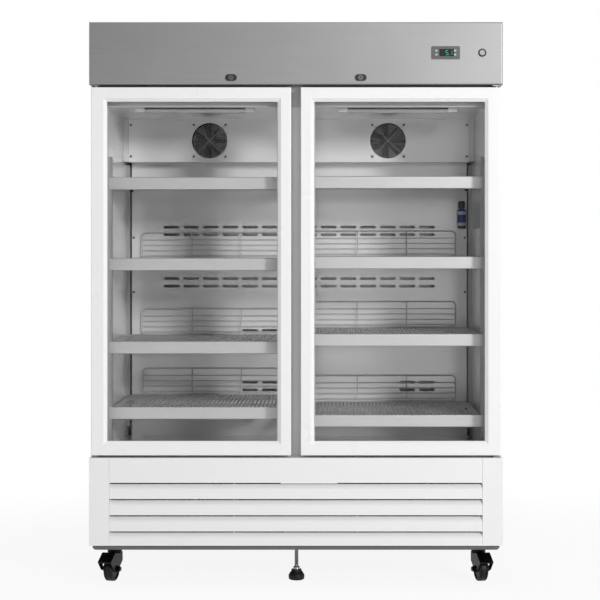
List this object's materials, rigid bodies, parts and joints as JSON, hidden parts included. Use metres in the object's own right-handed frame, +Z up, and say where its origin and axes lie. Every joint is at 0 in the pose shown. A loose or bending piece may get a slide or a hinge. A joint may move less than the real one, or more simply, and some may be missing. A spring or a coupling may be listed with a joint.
{
  "type": "pharmacy refrigerator",
  "caption": "Upright glass-door medicine refrigerator: white cabinet with header controls, shelved fan-cooled interior, louvred machine base, swivel casters and levelling foot",
  "frame": {"origin": "on the floor, in the middle of the footprint", "axes": "X to the right as seen from the front, Y to the back, Z up; the doors face -Y"},
  "size_m": [1.25, 0.75, 1.702],
  "materials": {
    "white_enamel": "smooth semi-gloss powder coat",
    "liner_grey": "glossy coated sheet",
    "header_grey": "satin grey coat",
    "door_white": "gloss white profile",
    "frame_plastic": "plain moulded frame",
    "foam": "rigid cell foam",
    "door_glazing": "clear sealed glazing",
    "gasket_grey": "soft matt seal",
    "black_plastic": "fine satin mould texture",
    "bezel_plastic": "dark grey satin",
    "key_plastic": "light grey keys",
    "display_black": "glossy black window",
    "lock_steel": "dark nickel plate",
    "bracket_steel": "zinc plated",
    "guard_wire": "plated wire",
    "fan_plastic": "black moulded",
    "coil_metal": "bare fins and tube",
    "light_housing": "satin extrusion",
    "light_diffuser": "opal strip",
    "standard_steel": "slotted channel",
    "shelf_coat": "grey coated perforated sheet",
    "wire_coat": "grey coated wire",
    "bottle_blue": "blue buffer bottle with black cap",
    "pan_dark": "dark grey coat",
    "machine_black": "black enamel",
    "condenser_metal": "black coated fins",
    "caster_black": "black e-coat",
    "wheel_rubber": "black tread",
    "screw_plate": "plated screw heads"
  },
  "bodies": {
    "cabinet": {"side_panels": "white_enamel", "rear_panel": "white_enamel", "top_cover": "white_enamel", "base_posts": "white_enamel", "louvre_grille": "white_enamel", "inner_liner": "liner_grey", "fan_cover": "liner_grey", "duct_panel": "liner_grey", "header_panel": "header_grey", "opening_frame": "frame_plastic", "insulation_foam": "foam", "lock_housings": "black_plastic", "switch_ring": "black_plastic", "power_inlet": "black_plastic", "shelf_clips": "black_plastic", "controller_bezel": "bezel_plastic", "display_window": "display_black", "hinge_brackets": "bracket_steel", "caster_plates": "bracket_steel", "fan_guards": "guard_wire", "fan_motors": "fan_plastic", "evaporator_coil": "coil_metal", "light_bars": "light_housing", "light_diffusers": "light_diffuser", "shelf_standards": "standard_steel", "left_shelves": "shelf_coat", "right_shelves": "shelf_coat", "back_stops": "wire_coat", "sensor_bottle": "bottle_blue", "base_pan": "pan_dark", "compressor": "machine_black", "condenser": "condenser_metal", "panel_screws": "screw_plate"},
    "left_door": {"left_door_frame": "door_white", "left_door_glass": "door_glazing", "left_door_gasket": "gasket_grey"},
    "right_door": {"right_door_frame": "door_white", "right_door_glass": "door_glazing", "right_door_gasket": "gasket_grey"},
    "left_lock": {"left_lock_plug": "lock_steel"},
    "right_lock": {"right_lock_plug": "lock_steel"},
    "menu_key": {"key_menu": "key_plastic"},
    "set_key": {"key_set": "key_plastic"},
    "up_key": {"key_up": "key_plastic"},
    "down_key": {"key_down": "key_plastic"},
    "switch_button": {"switch_cap": "key_plastic"},
    "left_fan": {"left_fan_rotor": "fan_plastic"},
    "right_fan": {"right_fan_rotor": "fan_plastic"},
    "condenser_fan": {"condenser_fan_rotor": "fan_plastic"},
    "foot": {"levelling_foot": "black_plastic"},
    "front_left_swivel": {"front_left_caster_fork": "caster_black"},
    "front_left_wheel": {"front_left_caster_wheel": "wheel_rubber"},
    "front_left_brake": {"front_left_brake_pedal": "caster_black"},
    "front_right_swivel": {"front_right_caster_fork": "caster_black"},
    "front_right_wheel": {"front_right_caster_wheel": "wheel_rubber"},
    "front_right_brake": {"front_right_brake_pedal": "caster_black"},
    "rear_left_swivel": {"rear_left_caster_fork": "caster_black"},
    "rear_left_wheel": {"rear_left_caster_wheel": "wheel_rubber"},
    "rear_right_swivel": {"rear_right_caster_fork": "caster_black"},
    "rear_right_wheel": {"rear_right_caster_wheel": "wheel_rubber"}
  },
  "joints": [
    {"name": "left_door_hinge", "type": "hinge", "parent": "cabinet", "child": "left_door", "pos_m": [-0.607, -0.351, 0.94875], "axis": [0, 0, -1], "range_deg": [0, 110]},
    {"name": "right_door_hinge", "type": "hinge", "parent": "cabinet", "child": "right_door", "pos_m": [0.607, -0.351, 0.94875], "axis": [0, 0, 1], "range_deg": [0, 110]},
    {"name": "left_lock_turn", "type": "hinge", "parent": "cabinet", "child": "left_lock", "pos_m": [-0.196, -0.371, 1.534], "axis": [0, -1, 0], "range_deg": [0, 90]},
    {"name": "right_lock_turn", "type": "hinge", "parent": "cabinet", "child": "right_lock", "pos_m": [0.196, -0.371, 1.534], "axis": [0, 1, 0], "range_deg": [0, 90]},
    {"name": "menu_key_press", "type": "slide", "parent": "cabinet", "child": "menu_key", "axis": [0, 1, 0], "range_m": [0, 0.0008], "stiffness_N_per_m": 400},
    {"name": "set_key_press", "type": "slide", "parent": "cabinet", "child": "set_key", "axis": [0, 1, 0], "range_m": [0, 0.0008], "stiffness_N_per_m": 400},
    {"name": "up_key_press", "type": "slide", "parent": "cabinet", "child": "up_key", "axis": [0, 1, 0], "range_m": [0, 0.0008], "stiffness_N_per_m": 400},
    {"name": "down_key_press", "type": "slide", "parent": "cabinet", "child": "down_key", "axis": [0, 1, 0], "range_m": [0, 0.0008], "stiffness_N_per_m": 400},
    {"name": "switch_press", "type": "slide", "parent": "cabinet", "child": "switch_button", "axis": [0, 1, 0], "range_m": [0, 0.0015], "stiffness_N_per_m": 500},
    {"name": "left_fan_spin", "type": "hinge", "parent": "cabinet", "child": "left_fan", "pos_m": [-0.2955, 0.1502, 1.379], "axis": [0, 1, 0], "continuous": true},
    {"name": "right_fan_spin", "type": "hinge", "parent": "cabinet", "child": "right_fan", "pos_m": [0.2955, 0.1502, 1.379], "axis": [0, 1, 0], "continuous": true},
    {"name": "condenser_fan_spin", "type": "hinge", "parent": "cabinet", "child": "condenser_fan", "pos_m": [-0.26, -0.201, 0.2105], "axis": [0, 1, 0], "continuous": true},
    {"name": "foot_screw", "type": "slide", "parent": "cabinet", "child": "foot", "axis": [0, 0, 1], "range_m": [0, 0.02]},
    {"name": "front_left_caster_turn", "type": "hinge", "parent": "cabinet", "child": "front_left_swivel", "pos_m": [-0.56, -0.266, 0.1012], "axis": [0, 0, 1], "continuous": true},
    {"name": "front_left_wheel_roll", "type": "hinge", "parent": "front_left_swivel", "child": "front_left_wheel", "pos_m": [-0.56629, -0.29123, 0.0375], "axis": [-0.9703, 0.2419, 0], "continuous": true},
    {"name": "front_left_brake_press", "type": "hinge", "parent": "front_left_swivel", "child": "front_left_brake", "pos_m": [-0.57161, -0.31257, 0.078], "axis": [0.9703, -0.2419, 0], "range_deg": [0, 18]},
    {"name": "front_right_caster_turn", "type": "hinge", "parent": "cabinet", "child": "front_right_swivel", "pos_m": [0.56, -0.266, 0.1012], "axis": [0, 0, 1], "continuous": true},
    {"name": "front_right_wheel_roll", "type": "hinge", "parent": "front_right_swivel", "child": "front_right_wheel", "pos_m": [0.56541, -0.29143, 0.0375], "axis": [-0.9781, -0.2079, 0], "continuous": true},
    {"name": "front_right_brake_press", "type": "hinge", "parent": "front_right_swivel", "child": "front_right_brake", "pos_m": [0.56998, -0.31295, 0.078], "axis": [0.9781, 0.2079, 0], "range_deg": [0, 18]},
    {"name": "rear_left_caster_turn", "type": "hinge", "parent": "cabinet", "child": "rear_left_swivel", "pos_m": [-0.56, 0.27, 0.1012], "axis": [0, 0, 1], "continuous": true},
    {"name": "rear_left_wheel_roll", "type": "hinge", "parent": "rear_left_swivel", "child": "rear_left_wheel", "pos_m": [-0.56, 0.296, 0.0375], "axis": [1, 0, 0], "continuous": true},
    {"name": "rear_right_caster_turn", "type": "hinge", "parent": "cabinet", "child": "rear_right_swivel", "pos_m": [0.56, 0.27, 0.1012], "axis": [0, 0, 1], "continuous": true},
    {"name": "rear_right_wheel_roll", "type": "hinge", "parent": "rear_right_swivel", "child": "rear_right_wheel", "pos_m": [0.56, 0.296, 0.0375], "axis": [1, 0, 0], "continuous": true}
  ]
}
